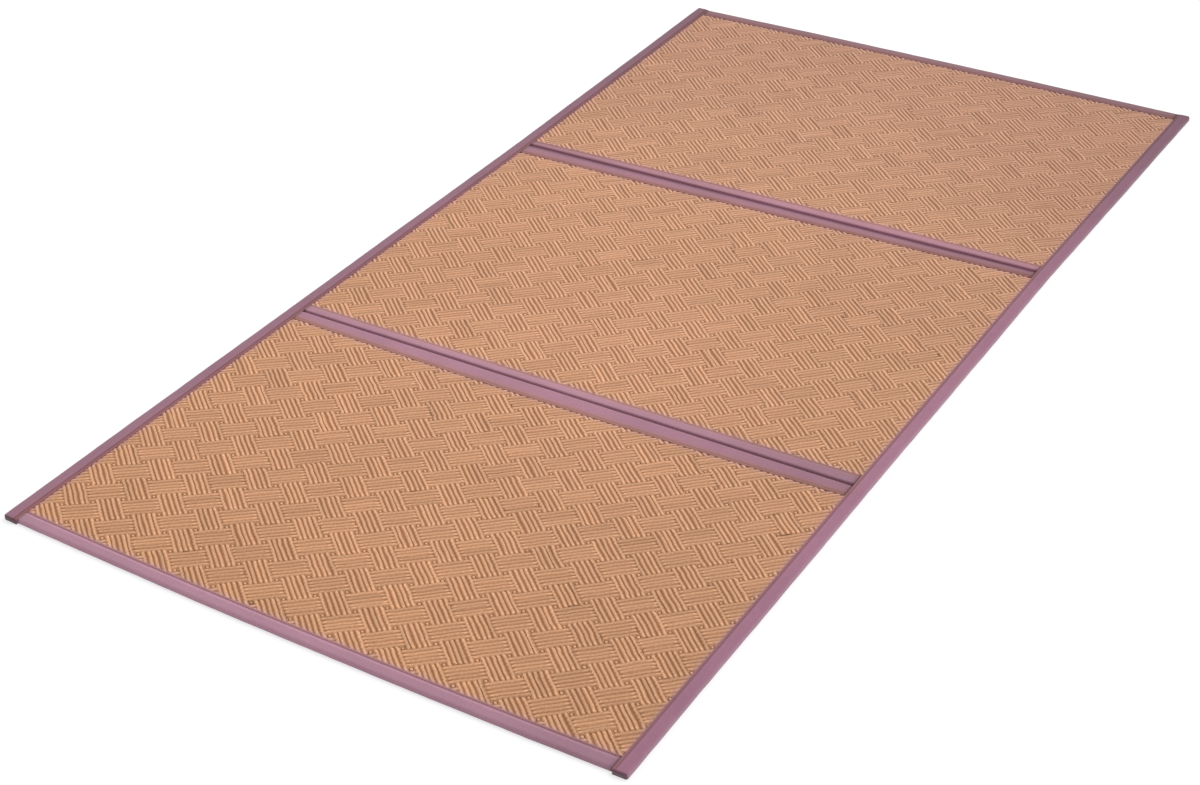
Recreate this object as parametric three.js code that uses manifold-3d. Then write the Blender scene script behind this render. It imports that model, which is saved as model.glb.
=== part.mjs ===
// Folding woven floor mat: three stiff panels in a row, with every edge bound in a folded strip of cloth.
// Millimetres. X runs across the mat, Y along it from the near end to the far end, and Z is up. The origin is
// on the floor below the middle of the mat.

import * as THREE from 'three';
import { mergeVertices } from 'three/addons/utils/BufferGeometryUtils.js';
import Module from 'manifold-3d';

const wasm = await Module();
wasm.setup();

// The mat and its bindings, as seen from above
const MAT_WIDTH = 1000;
const MAT_LENGTH = 1900;
const SIDE_WIDTH = { binding_left: 23.4, binding_right: 21.4 };
const NEAR_SETBACK = 3;
const FAR_SETBACK = 0.5;
const FOLD_GAP = 4;

// Width of each cross strip at the left side, the middle and the right side of the mat
const CROSS_WIDTH = {
  binding_near: { left: 22.8, middle: 22.4, right: 23.6 },
  fold_1_near: { left: 23.2, middle: 31.8, right: 24.7 },
  fold_1_far: { left: 19.1, middle: 18.4, right: 24.1 },
  fold_2_near: { left: 29.7, middle: 25.8, right: 18.7 },
  fold_2_far: { left: 15.1, middle: 22.1, right: 18.1 },
  binding_far: { left: 22.9, middle: 21.6, right: 22.7 },
};

// Heights above the floor
const PANEL_HEIGHT = 7;
const SIDE_HEIGHT = 8.6;
const CROSS_HEIGHT = 7.8;
const TONGUE_LOW = 1.3;
const TONGUE_HIGH = 5.7;

// Cloth round an outer edge, the roundness of that edge on top and underneath, the space left between pieces,
// and how far a cut runs past a face
const EDGE_WALL = 2.2;
const TOP_ROUND = 3.2;
const UNDER_ROUND = 1.2;
const CLEARANCE = 0.3;
const OVERCUT = 1;

// The sewn inner edge of a binding: distance in from that edge, and how far the cloth drops below its crown
const SEWN_EDGE = [
  { inset: 8.4, drop: 0 },
  { inset: 5.6, drop: 0.1 },
  { inset: 4, drop: 0.9 },
  { inset: 2.4, drop: 0.4 },
  { inset: 0, drop: 0.7 },
];

// How far the mat lies out of true at its ends and folds: shifts along it at the left side, middle and right
// side, and shifts across it of the two sides, which draw in a little towards the second fold
const FOLD_AT = MAT_LENGTH / 6;
const END_AT = MAT_LENGTH / 2;
const LIE = [
  { at: -END_AT, left: 10.1, middle: 1.5, right: 6.9, leftSide: -1.6, rightSide: 0.2 },
  { at: -FOLD_AT, left: -8.5, middle: -5.6, right: -2.6, leftSide: 2.4, rightSide: -3.8 },
  { at: FOLD_AT, left: -12.7, middle: -5.9, right: 0.9, leftSide: 5.9, rightSide: -6.2 },
  { at: END_AT, left: -4.5, middle: -7.6, right: -18.3, leftSide: 0, rightSide: 1.6 },
];

// Steps along the pieces, so that they follow the lie of the mat together
const STEPS_ACROSS = 8;
const STEPS_ALONG_PANEL = 6;
const STEPS_ALONG_SIDE = 18;
const ARC_STEPS = 4;

const WEAVE = { color: 0xc08e70, roughness: 0.75, metalness: 0 };
const BINDING = { color: 0xa37a88, roughness: 0.9, metalness: 0 };

// A value at one place across the mat, from its values at the left side, the middle and the right side
function acrossMat({ left, middle, right }, x) {
  const side = x / (MAT_WIDTH / 2);
  const skew = (right - left) / 2;
  const bow = (right + left) / 2 - middle;
  return middle + skew * side + bow * side * side;
}

// A point of the mat drawn square, moved to where it lies
function layOut(x, y) {
  const line = LIE.findIndex((row) => row.at >= y);
  const next = line < 0 ? LIE.length - 1 : Math.max(line, 1);
  const before = LIE[next - 1];
  const after = LIE[next];
  const share = (y - before.at) / (after.at - before.at);
  const value = (column) => THREE.MathUtils.lerp(before[column], after[column], share);
  const across = THREE.MathUtils.lerp(value('leftSide'), value('rightSide'), x / MAT_WIDTH + 0.5);
  const along = acrossMat({ left: value('left'), middle: value('middle'), right: value('right') }, x);
  return { x: x + across, y: y + along };
}

// Moves every vertex of a geometry by a function, and keeps only positions, shared between faces
function reshape(geometry, place) {
  geometry.deleteAttribute('normal');
  geometry.deleteAttribute('uv');
  const points = geometry.getAttribute('position');
  for (let i = 0; i < points.count; i += 1) {
    const spot = place(points.getX(i), points.getY(i), points.getZ(i));
    const laid = layOut(spot.x, spot.y);
    points.setXYZ(i, laid.x, laid.y, spot.z);
  }
  return mergeVertices(geometry, 1e-4);
}

function solidOf(geometry) {
  const vertProperties = new Float32Array(geometry.getAttribute('position').array);
  const triVerts = new Uint32Array(geometry.index.array);
  return new wasm.Manifold(new wasm.Mesh({ numProp: 3, vertProperties, triVerts }));
}

function geometryOf(solid) {
  const mesh = solid.getMesh();
  const geometry = new THREE.BufferGeometry();
  geometry.setAttribute('position', new THREE.BufferAttribute(new Float32Array(mesh.vertProperties), 3));
  geometry.setIndex(new THREE.BufferAttribute(new Uint32Array(mesh.triVerts), 1));
  return geometry;
}

function named(name, geometry, look) {
  geometry.computeVertexNormals();
  const mesh = new THREE.Mesh(geometry, new THREE.MeshStandardMaterial(look));
  mesh.name = name;
  return mesh;
}

// A panel: the woven slab at full thickness, with a pressed tongue all round that goes into the bindings
function panel(name, low, high, lowEdge, highEdge) {
  const woven = {
    left: SIDE_WIDTH.binding_left + CLEARANCE,
    right: SIDE_WIDTH.binding_right + CLEARANCE,
    low: (x) => acrossMat(CROSS_WIDTH[lowEdge], x) + CLEARANCE,
    high: (x) => acrossMat(CROSS_WIDTH[highEdge], x) + CLEARANCE,
  };
  const inside = EDGE_WALL + CLEARANCE;
  const tongue = { left: inside, right: inside, low: () => inside, high: () => inside };
  const levels = [
    { z: 0, inset: woven },
    { z: TONGUE_LOW, inset: woven },
    { z: TONGUE_LOW, inset: tongue },
    { z: TONGUE_HIGH, inset: tongue },
    { z: TONGUE_HIGH, inset: woven },
    { z: PANEL_HEIGHT, inset: woven },
  ];
  const square = new THREE.Shape();
  square.moveTo(0, 0);
  const corners = [
    { x: 1, y: 0, steps: STEPS_ACROSS },
    { x: 1, y: 1, steps: STEPS_ALONG_PANEL },
    { x: 0, y: 1, steps: STEPS_ACROSS },
    { x: 0, y: 0, steps: STEPS_ALONG_PANEL },
  ];
  let last = corners.at(-1);
  for (const corner of corners) {
    for (let step = 1; step <= corner.steps; step += 1) {
      const at = new THREE.Vector2(last.x, last.y).lerp(corner, step / corner.steps);
      square.lineTo(at.x, at.y);
    }
    last = corner;
  }
  const stack = levels.length - 1;
  const block = new THREE.ExtrudeGeometry(square, { depth: stack, steps: stack, bevelEnabled: false });
  const slab = reshape(block, (s, t, layer) => {
    const { z, inset } = levels[Math.round(layer)];
    const x = THREE.MathUtils.lerp(inset.left - MAT_WIDTH / 2, MAT_WIDTH / 2 - inset.right, s);
    return { x, y: THREE.MathUtils.lerp(low + inset.low(x), high - inset.high(x), t), z };
  });
  return named(name, slab, WEAVE);
}

// The outside of a folded strip seen end on: flat below, upright at the outer edge with rounded corners,
// puffed on top, and drawn down at the seam beside the inner edge. x is the distance in from the outer edge
// and y the height.
function bindingOutline(width, height) {
  const outline = new THREE.Shape();
  outline.moveTo(width, 0);
  outline.lineTo(UNDER_ROUND, 0);
  outline.absarc(UNDER_ROUND, UNDER_ROUND, UNDER_ROUND, -Math.PI / 2, -Math.PI, true);
  outline.absarc(TOP_ROUND, height - TOP_ROUND, TOP_ROUND, Math.PI, Math.PI / 2, true);
  for (const point of SEWN_EDGE) {
    outline.lineTo(width - point.inset, height - point.drop);
  }
  return outline;
}

// A binding along an edge of the square mat, which lies on the left of the way from start to end. widthAt is
// its width at each place across the mat. Its slot takes the panel's tongue, and stops short of an end that
// is turned in and closed, or runs past it.
function binding(name, start, end, widthAt, height, steps, closedEnds) {
  const length = start.distanceTo(end);
  const way = end.clone().sub(start).normalize();
  const inward = new THREE.Vector2(-way.y, way.x);
  const width = widthAt(0);
  const follow = (u, z, along) => {
    const wider = u > width / 2 ? widthAt(start.x + way.x * along) - width : 0;
    const x = start.x + way.x * along + inward.x * (u + wider);
    const y = start.y + way.y * along + inward.y * (u + wider);
    return { x, y, z };
  };
  const outline = bindingOutline(width, height);
  const bar = new THREE.ExtrudeGeometry(outline, {
    depth: length,
    steps,
    bevelEnabled: false,
    curveSegments: ARC_STEPS,
  });
  const slotLow = TONGUE_LOW - CLEARANCE;
  const slotHeight = TONGUE_HIGH + CLEARANCE - slotLow;
  const slotDepth = width - EDGE_WALL + OVERCUT;
  const slotLength = length - closedEnds.start - closedEnds.end;
  const slot = new THREE.BoxGeometry(slotDepth, slotHeight, slotLength, 1, 1, steps);
  slot.translate(EDGE_WALL + slotDepth / 2, slotLow + slotHeight / 2, closedEnds.start + slotLength / 2);
  const cut = solidOf(reshape(bar, follow)).subtract(solidOf(reshape(slot, follow)));
  return named(name, geometryOf(cut), BINDING);
}

const mat = new THREE.Group();

// Three panels with a bound edge across each end of each panel
const nearEnd = NEAR_SETBACK - END_AT;
const farEnd = END_AT - FAR_SETBACK;
const nearFold = FOLD_AT - FOLD_GAP / 2;
const farFold = FOLD_AT + FOLD_GAP / 2;
const panels = [
  { name: 'panel_near', low: nearEnd, high: -farFold, lowEdge: 'binding_near', highEdge: 'fold_1_near' },
  { name: 'panel_middle', low: -nearFold, high: nearFold, lowEdge: 'fold_1_far', highEdge: 'fold_2_near' },
  { name: 'panel_far', low: farFold, high: farEnd, lowEdge: 'fold_2_far', highEdge: 'binding_far' },
];
const left = SIDE_WIDTH.binding_left + CLEARANCE - MAT_WIDTH / 2;
const right = MAT_WIDTH / 2 - SIDE_WIDTH.binding_right - CLEARANCE;
const openEnds = { start: -OVERCUT, end: -OVERCUT };
for (const { name, low, high, lowEdge, highEdge } of panels) {
  mat.add(panel(name, low, high, lowEdge, highEdge));
  const lowEnds = [new THREE.Vector2(left, low), new THREE.Vector2(right, low)];
  const highEnds = [new THREE.Vector2(right, high), new THREE.Vector2(left, high)];
  const lowWidth = (x) => acrossMat(CROSS_WIDTH[lowEdge], x);
  const highWidth = (x) => acrossMat(CROSS_WIDTH[highEdge], x);
  mat.add(binding(lowEdge, ...lowEnds, lowWidth, CROSS_HEIGHT, STEPS_ACROSS, openEnds));
  mat.add(binding(highEdge, ...highEnds, highWidth, CROSS_HEIGHT, STEPS_ACROSS, openEnds));
}

// Two long side bindings over the whole length, closed at the mat's corners
const nearClosed = NEAR_SETBACK + EDGE_WALL;
const farClosed = FAR_SETBACK + EDGE_WALL;
const sides = [
  { name: 'binding_left', side: -1, closedEnds: { start: farClosed, end: nearClosed } },
  { name: 'binding_right', side: 1, closedEnds: { start: nearClosed, end: farClosed } },
];
for (const { name, side, closedEnds } of sides) {
  const start = new THREE.Vector2(side * MAT_WIDTH / 2, -side * END_AT);
  const end = new THREE.Vector2(side * MAT_WIDTH / 2, side * END_AT);
  const width = () => SIDE_WIDTH[name];
  mat.add(binding(name, start, end, width, SIDE_HEIGHT, STEPS_ALONG_SIDE, closedEnds));
}

export default mat;
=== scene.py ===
"""Folding woven floor mat: three panels of diagonal basket weave, every edge bound in mauve cloth."""

import math

import bmesh
import bpy
import numpy as np
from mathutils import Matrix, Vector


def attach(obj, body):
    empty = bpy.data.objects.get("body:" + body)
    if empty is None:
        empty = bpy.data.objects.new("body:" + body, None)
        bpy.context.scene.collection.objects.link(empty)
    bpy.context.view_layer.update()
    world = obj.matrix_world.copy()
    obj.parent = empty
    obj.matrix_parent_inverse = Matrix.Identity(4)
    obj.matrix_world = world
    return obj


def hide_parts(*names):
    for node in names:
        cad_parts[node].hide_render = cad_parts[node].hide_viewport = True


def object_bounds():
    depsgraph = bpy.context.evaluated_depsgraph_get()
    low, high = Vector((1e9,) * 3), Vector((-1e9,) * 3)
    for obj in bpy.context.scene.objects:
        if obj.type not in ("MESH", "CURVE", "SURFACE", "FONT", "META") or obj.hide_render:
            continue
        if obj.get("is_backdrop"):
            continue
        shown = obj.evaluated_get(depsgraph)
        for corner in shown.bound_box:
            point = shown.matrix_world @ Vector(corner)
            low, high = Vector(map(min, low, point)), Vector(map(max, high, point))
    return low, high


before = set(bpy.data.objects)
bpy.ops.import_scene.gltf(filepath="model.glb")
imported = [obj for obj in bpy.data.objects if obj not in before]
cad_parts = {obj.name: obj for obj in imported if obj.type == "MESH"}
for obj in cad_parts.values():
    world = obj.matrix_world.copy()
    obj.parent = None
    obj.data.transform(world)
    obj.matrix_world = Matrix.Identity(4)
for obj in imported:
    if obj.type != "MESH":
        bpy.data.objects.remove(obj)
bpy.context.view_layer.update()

MM = 0.001
rng = np.random.default_rng(1900)

# The mat and its bindings in millimetres, as the solids have them
MAT_WIDTH = 1000.0
MAT_LENGTH = 1900.0
LEFT_WIDTH = 23.4
RIGHT_WIDTH = 21.4
NEAR_SETBACK = 3.0
FAR_SETBACK = 0.5
FOLD_GAP = 4.0
SIDE_HEIGHT = 8.6
CROSS_HEIGHT = 7.8
TONGUE_LOW = 1.3
EDGE_WALL = 2.2
CLEARANCE = 0.3
END_AT = MAT_LENGTH / 2
FOLD_AT = MAT_LENGTH / 6

# Width of each cross strip at the left side, the middle and the right side
CROSS_WIDTH = {
    "binding_near": (22.8, 22.4, 23.6),
    "fold_1_near": (23.2, 31.8, 24.7),
    "fold_1_far": (19.1, 18.4, 24.1),
    "fold_2_near": (29.7, 25.8, 18.7),
    "fold_2_far": (15.1, 22.1, 18.1),
    "binding_far": (22.9, 21.6, 22.7),
}

# How far the mat lies out of true at its ends and folds: where, the shifts along it at the left side, the
# middle and the right side, and the shifts across it of the left and right sides
LIE = np.array([
    (-END_AT, 10.1, 1.5, 6.9, -1.6, 0.2),
    (-FOLD_AT, -8.5, -5.6, -2.6, 2.4, -3.8),
    (FOLD_AT, -12.7, -5.9, 0.9, 5.9, -6.2),
    (END_AT, -4.5, -7.6, -18.3, 0.0, 1.6),
])
SQUARE_UP_ROUNDS = 6

# The weave of each panel: the step to the next like block across and along it, the middle of one block, and
# how far its two ways of ribs slip, in blocks, at the left, middle and right of the near and the far edge.
# eye_way is how faint the painted shade of its eyes is, on the same scale as the ribs of the second way,
# whose painted shade is fainter than that of the first
WEAVES = {
    "panel_near": {
        "across": (63.85, -0.08),
        "along": (-0.95, 52.59),
        "middle": (5.9, -602.0),
        "p_slip": ((-0.05, 0.06, -0.05), (-0.12, 0.03, -0.11)),
        "q_slip": ((-0.52, 0.03, -0.30), (-0.30, 0.04, -0.47)),
        "eye_way": 0.0,
    },
    "panel_middle": {
        "across": (62.44, 1.65),
        "along": (-1.75, 54.43),
        "middle": (19.5, 23.2),
        "p_slip": ((0.03, 0.06, -0.02), (-0.03, 0.05, 0.07)),
        "q_slip": ((-0.67, 0.00, -0.23), (-0.31, 0.05, -0.24)),
        "eye_way": 0.5,
    },
    "panel_far": {
        "across": (63.76, 0.27),
        "along": (1.44, 54.59),
        "middle": (-14.2, 600.2),
        "p_slip": ((-0.19, 0.05, -0.02), (0.01, 0.07, -0.22)),
        "q_slip": ((0.22, -0.01, -0.12), (-0.15, 0.05, 0.24)),
        "eye_way": 1.0,
    },
}

# A block of the weave is five ribs side by side, each seven rib widths long. Heights are in millimetres, and
# places on a rib in rib widths. Scallop is how far the light crest of an outer rib winds
RIBS = 5
RIB_LENGTH = 7.0
RIB_WIDTHS_A_STEP = 6.0
GROUND_TOP = 5.3
GROOVE_TOP = 5.75
RIB_RISE = 1.3
RIB_ACROSS = np.array([-0.5, -0.34, -0.18, 0.0, 0.18, 0.34])
RIB_SHAPE = np.array([0.0, 0.5, 0.92, 1.0, 0.92, 0.5])
BLOCK_EDGE = 0.3
SCALLOP = 0.1
RIB_ALONG = np.array([-3.62, -3.42, -3.0, -1.5, 0.0, 1.5, 3.0, 3.42, 3.62])
RIB_FALL = np.array([0.5, 0.86, 0.99, 1.0, 1.02, 1.0, 0.99, 0.86, 0.5])
BLOCKS_EACH_WAY = 30
BLOCK_REACH = 65.0

# How uneven the ribs are: height and length as shares, the rest in rib widths
HEIGHT_SPREAD = 0.1
LENGTH_SPREAD = 0.022
SWAY = 0.07
BEND = 0.08
WIGGLE = 0.05
WANDER = 0.04

# The round eye between each four blocks, a knot with a gap on two sides that its place on a rib's look paints
# in groove colour and painted shade: radius in blocks, height, place on a rib's look, and how much of the gap
# is closed on the other two sides
EYE = [
    (0.0, 6.8, (1.5, 6.4), 0.0),
    (0.04, 6.5, (1.45, 6.4), 0.0),
    (0.054, 5.45, (1.0, 6.9), 0.5),
    (0.08, 5.4, (1.0, 6.9), 0.5),
    (0.096, 6.1, (1.15, 6.2), 0.3),
    (0.118, 6.3, (1.3, 5.6), 0.0),
]
EYE_SIDES = 8
EYE_AT = 0.5
EYE_SIZE_SPREAD = 0.08
EYE_SHIFT = 0.006
EYE_TINT = 0.7

# The panel's edge is pressed down beside the bindings, and its ribs run a little way under them
PRESSED_WIDTH = 9.0
PRESSED_DROP = 0.5
TUCK = 0.5
GROUND_STEPS_ACROSS = 40
GROUND_STEPS_ALONG = 30

# The folded strip end on: distance in from the sewn inner edge, and drop below its crown
CROWN = [(10.0, 0.1), (8.0, 0.0), (6.6, 0.06), (5.6, 0.25)]
SEAM = [(4.8, 0.75), (4.3, 1.2), (3.7, 1.2), (3.2, 0.75)]
LIP = [(2.5, 0.45), (1.5, 0.5), (0.7, 0.85), (0.0, 1.5)]
SEAM_INSET = 4.0
SEAM_REST = 0.4
TOP_ROUND = 3.2
UNDER_ROUND = 1.2
CROWN_STEPS = 5
CROWN_FALL = 0.06
UNDER_MIDDLE = 0.55
SIDE_STEPS = (0.28, 0.4, 0.5)
BULGE_TOP = 0.7
SLOT_LOW = 1.0
SLOT_HIGH = 6.0
STRIP_STEP = 4.0

# Where a long strip ends it is rounded, narrower and lower, and its slot is shut
END_ROUND = 2.4
END_STEPS = 5
END_NARROW = 1.4
END_LOW = 0.9
SLOT_SHUT = 1.45
SHUT_STEP = 0.2

# How the cloth wanders down a strip: reach and height in millimetres, and number of waves
FULLNESS = [(70.0, 0.09, 5), (14.0, 0.045, 3)]
EDGE_WANDER = [(90.0, 0.2, 5), (11.0, 0.1, 3)]
EDGE_REACH = 8.0
LIP_REACH = 2.0
FULL_FROM = 0.75
FULL_BLEND = 0.2
HELD_AT_FOLD = 0.3

# The slack hollow of the cloth beside its seam
SLACK_INSET = 9.5
SLACK_SPREAD = 3.0
SLACK_DEPTH = 0.1
SLACK_UNEVEN = 0.06
SLACK_REACH = 30.0

# Each strip has painted light and shade of its own: its first entry is a colour against the cloth's, painted
# for how the strip is lit, and its outer side (side, as far up as shoulder) and seam (seam) have their own
# painted shade, the right strip's side painted lighter than its top. Painted shade and light run along it
# from its near or left end over its middle to its far or right end (the entry after ridge), and it takes on
# the warm colour of the straw over some millimetres of its sewn edge (warm: reach, green and blue taken out).
# Ridge is a painted highlight beside its seam, groove its seam's depth, and bulge how far its soft outer side
# stands out, which at the folds nearly closes the gap
STRIPS = {
    "binding_near": {
        "painted_shading": (0.96, 0.94, 0.94), "side": (0.85, 0.85, 0.85), "shoulder": 1.0, "seam": (0.06, 0.08, 0.04),
        "groove": 1.0, "bulge": 0.15, "ridge": 0.28, "painted_falloff": (1.0, 1.05, 0.76), "warm": (8.0, 0.1, 0.4),
    },
    "fold_1_near": {
        "painted_shading": (0.93, 0.85, 0.86), "side": (0.22, 0.13, 0.17), "shoulder": 1.0, "seam": (0.0, 0.0, 0.0),
        "groove": 0.5, "bulge": 1.65, "ridge": 0.0, "painted_falloff": (1.0, 1.05, 0.78), "warm": (13.0, 0.05, 0.5),
    },
    "fold_1_far": {
        "painted_shading": (1.04, 1.0, 0.97), "side": (0.62, 0.49, 0.54), "shoulder": 2.2, "seam": (0.0, 0.0, 0.0),
        "groove": 0.5, "bulge": 1.65, "ridge": 0.09, "painted_falloff": (0.92, 1.03, 0.66), "warm": (10.0, 0.05, 0.45),
    },
    "fold_2_near": {
        "painted_shading": (0.84, 0.75, 0.76), "side": (0.1, 0.02, 0.06), "shoulder": 9.6, "seam": (0.06, 0.06, 0.06),
        "groove": 0.5, "bulge": 1.65, "ridge": 0.0, "painted_falloff": (0.96, 1.04, 0.76), "warm": (14.0, 0.1, 0.5),
    },
    "fold_2_far": {
        "painted_shading": (0.99, 0.92, 0.87), "side": (0.6, 0.42, 0.5), "shoulder": 5.6, "seam": (0.18, 0.2, 0.14),
        "groove": 0.5, "bulge": 1.65, "ridge": 0.05, "painted_falloff": (0.84, 1.06, 0.92), "warm": (12.0, 0.08, 0.45),
    },
    "binding_far": {
        "painted_shading": (0.6, 0.6, 0.53), "side": (0.95, 1.0, 0.98), "shoulder": 1.0, "seam": (0.0, 0.05, 0.05),
        "groove": 0.5, "bulge": 0.15, "ridge": 0.0, "painted_falloff": (0.96, 1.05, 0.82), "warm": (14.0, 0.2, 0.35),
    },
    "binding_left": {
        "painted_shading": (0.66, 0.61, 0.62), "side": (0.9, 0.95, 0.95), "shoulder": 1.0, "seam": (0.26, 0.32, 0.28),
        "groove": 1.0, "bulge": 0.15, "ridge": 0.08, "painted_falloff": (1.08, 1.03, 0.72), "warm": (10.0, 0.2, 0.4),
    },
    "binding_right": {
        "painted_shading": (0.73, 0.63, 0.68), "side": (1.05, 1.3, 1.18), "shoulder": 1.0, "seam": (0.22, 0.24, 0.2),
        "groove": 1.0, "bulge": 0.15, "ridge": 0.05, "painted_falloff": (0.98, 1.1, 0.58), "warm": (8.0, 0.1, 0.35),
    },
}

# Where these colours lie and blend: side as shares of a strip's height, the rest in millimetres
SEAM_SPREAD = 1.6
SIDE_TOP = 0.55
SIDE_BLEND = 0.4
UNDER_HEIGHT = 0.5
UNDER_BLEND = 4
RIDGE_INSET = 7.4
RIDGE_SPREAD = 1.3
FALLOFF_UNEVEN = 0.02
FALLOFF_REACH = 40.0

# Painted shade at a strip's ends: how dark, and over how many millimetres, where it closes and where it is
# covered
CLOSED_END = (0.62, END_ROUND)
COVERED_END = (0.5, 5.0)

# The stitches, and one of them along its length: places on it, rise and girth
STITCH_PITCH = 4.4
STITCH_LENGTH = 3.5
STITCH_THICK = 0.75
STITCH_MARGIN = 6.0
STITCH_DEPTH = 1.1
STITCH_BOW = 0.8
STITCH_SLANT = 0.12
STITCH_STRAY = 0.12
STITCH_SPREAD = 0.05
STITCH_ALONG = np.array([-0.5, -0.36, -0.12, 0.12, 0.36, 0.5])
STITCH_RISE = np.array([-0.5, 0.12, 0.3, 0.3, 0.12, -0.5])
STITCH_GIRTH = np.array([0.35, 0.85, 1.0, 1.0, 0.85, 0.35])
STITCH_SIDES = 6

# The stage: a wide floor, and the camera as fitted to the mat's sides
FLOOR_HALF = 30000.0
FLOOR_AT = -0.2
CAMERA_LENS = 63.64
CAMERA_SENSOR = 36.0
CAMERA_AT = (1.4786, -2.4132, 1.7267)
CAMERA_TURN = (55.994, 2.420, 32.299)
KEY_AT = (4.2, 4.6, 8.0)


def across_mat(left, middle, right, x, reach=MAT_WIDTH / 2):
    """A value at one place across the mat, from its values at the left, the middle and the right."""
    side = x / reach
    return middle + (right - left) / 2 * side + ((right + left) / 2 - middle) * side * side


def lay_out(x, y):
    """A point of the mat drawn square, moved to where it lies."""
    left, middle, right, left_side, right_side = (np.interp(y, LIE[:, 0], LIE[:, k]) for k in range(1, 6))
    across = left_side + (right_side - left_side) * (x / MAT_WIDTH + 0.5)
    return x + across, y + across_mat(left, middle, right, x)


def square_up(x, y):
    """The reverse of lay_out."""
    flat_x, flat_y = x.copy(), y.copy()
    for _ in range(SQUARE_UP_ROUNDS):
        laid_x, laid_y = lay_out(flat_x, flat_y)
        flat_x += x - laid_x
        flat_y += y - laid_y
    return flat_x, flat_y


def drift(along, reach, waves=5):
    """A slow uneven curve of about unit height, as cloth wanders by hand sewing."""
    total = np.zeros_like(along)
    for wave in range(1, waves + 1):
        turn = rng.uniform(0, 2 * math.pi)
        total += np.sin(along / reach * wave * rng.uniform(0.8, 1.2) + turn) / wave
    return total


def wander(along, drifts):
    """Slow and quick drifts together, as a column of values down a strip."""
    return sum(drift(along, reach, waves) * height for reach, height, waves in drifts)[:, None]


def mesh_piece(name, points, faces, smooth=True):
    """A piece from points in millimetres."""
    mesh = bpy.data.meshes.new(name)
    corners = [list(dict.fromkeys(map(int, face))) for face in faces]
    mesh.from_pydata((np.asarray(points) * MM).tolist(), [], corners)
    mesh.polygons.foreach_set("use_smooth", np.full(len(mesh.polygons), smooth))
    piece = bpy.data.objects.new(name, mesh)
    bpy.context.collection.objects.link(piece)
    return piece


def grid_faces(rows, columns):
    """Quads of a grid of points, row by row."""
    first = (np.arange(rows - 1)[:, None] * columns + np.arange(columns - 1)).ravel()
    return np.stack([first, first + 1, first + columns + 1, first + columns], axis=1)


def lay_places(mesh, name, places):
    """Gives each corner of a mesh the place of its point on a look."""
    corner = np.zeros(len(mesh.loops), dtype=np.int32)
    mesh.loops.foreach_get("vertex_index", corner)
    layer = mesh.uv_layers.new(name=name)
    layer.data.foreach_set("uv", places[corner].ravel().astype(np.float32))


def note(mesh, name, domain, values):
    """Keeps a value for each face or point of a mesh."""
    mesh.attributes.new(name, "FLOAT", domain).data.foreach_set("value", values.astype(np.float32))


def weave_vectors(name):
    """The steps of one unit of p and q, which run along the two ways of the ribs, and a block's middle."""
    weave = WEAVES[name]
    across, along = np.array(weave["across"]), np.array(weave["along"])
    return (across + along) / 2, (across - along) / 2, np.array(weave["middle"])


class Woven:
    """The woven part of a panel inside its bindings, in places x and t, from its near to its far edge."""

    left = LEFT_WIDTH + CLEARANCE - MAT_WIDTH / 2
    right = MAT_WIDTH / 2 - RIGHT_WIDTH - CLEARANCE

    def __init__(self, low, high, low_edge, high_edge):
        self.low, self.high = low, high
        self.low_edge, self.high_edge = CROSS_WIDTH[low_edge], CROSS_WIDTH[high_edge]
        self.length = high - low - self.low_edge[1] - self.high_edge[1] - 2 * CLEARANCE

    def span(self, x):
        start = self.low + across_mat(*self.low_edge, x) + CLEARANCE
        end = self.high - across_mat(*self.high_edge, x) - CLEARANCE
        return start, (end - start) / self.length

    def place(self, x, y):
        start, stretch = self.span(x)
        return x, (y - start) / stretch

    def square(self, x, t):
        start, stretch = self.span(x)
        return x, start + t * stretch

    def edge_distance(self, x, t):
        return np.minimum(np.minimum(x - self.left, self.right - x), np.minimum(t, self.length - t))


def weave_blocks(name, woven):
    """Whole numbers p, q of all blocks that reach into the panel."""
    p_step, q_step, middle = weave_vectors(name)
    numbers = np.arange(-BLOCKS_EACH_WAY, BLOCKS_EACH_WAY + 1)
    p, q = (grid.ravel() for grid in np.meshgrid(numbers, numbers))
    x, y = square_up(*(middle[:, None] + np.outer(p_step, p) + np.outer(q_step, q)))
    inside = woven.edge_distance(*woven.place(x, y)) > -BLOCK_REACH
    return p[inside], q[inside]


def weave_place(name, woven, p, q):
    """Places p, q of the weave on the panel, with the slip of its ribs."""
    p_step, q_step, middle = weave_vectors(name)
    plan = middle[:, None] + np.outer(p_step, p) + np.outer(q_step, q)
    x, t = woven.place(*square_up(*plan))
    share = t / woven.length
    for step, key in ((p_step, "p_slip"), (q_step, "q_slip")):
        near, far = (across_mat(*values, x) for values in WEAVES[name][key])
        plan = plan + np.outer(step, near + (far - near) * share)
    return woven.place(*square_up(*plan))


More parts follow.
